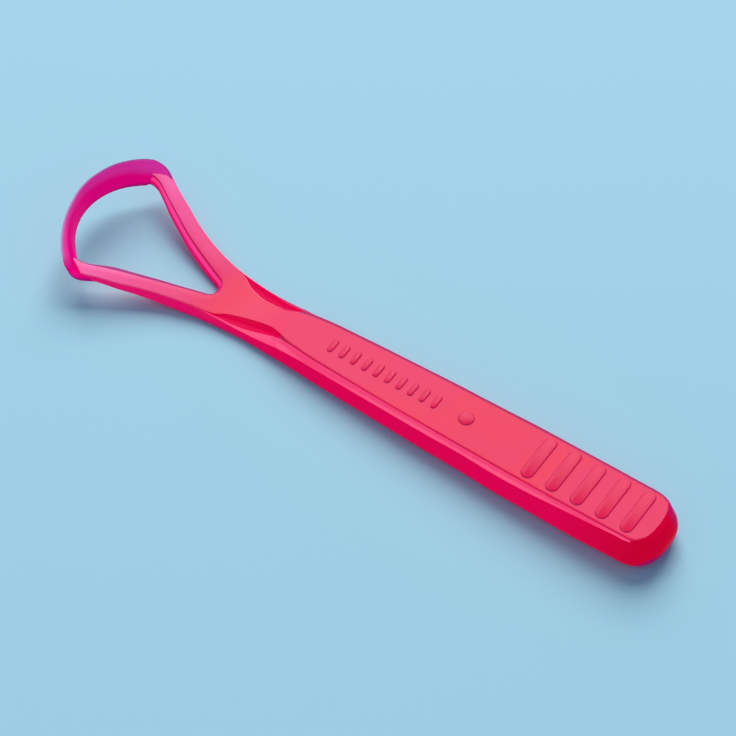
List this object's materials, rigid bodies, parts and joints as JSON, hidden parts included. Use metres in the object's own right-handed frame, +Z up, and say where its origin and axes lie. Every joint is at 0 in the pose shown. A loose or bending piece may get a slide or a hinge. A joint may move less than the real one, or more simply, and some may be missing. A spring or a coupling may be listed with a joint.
{
  "type": "tongue scraper",
  "caption": "One-piece plastic tongue scraper: an upright curved scraping band on a two-armed fork, a waisted neck and a long flat-faced rounded handle.",
  "frame": {"origin": "below the middle of the overall box, on the surface the handle lies on", "axes": "+X along the tool from the scraping band to the tail, +Y across it, +Z up from the flat underside to the raised face"},
  "size_m": [0.1596, 0.0376, 0.0132],
  "materials": {
    "blade_plastic": "glossy, slightly translucent magenta plastic",
    "body_plastic": "glossy hot pink plastic, deeper red in thick places",
    "face_plastic": "glossy coral pink plastic",
    "rib_plastic": "glossy coral pink plastic, moulded relief"
  },
  "bodies": {
    "root": {"scraper_blade": "blade_plastic", "neck_fork": "body_plastic", "grip_body": "body_plastic", "face_plate": "face_plastic", "thumb_ribs": "rib_plastic", "finger_ribs": "rib_plastic"}
  },
  "joints": []
}
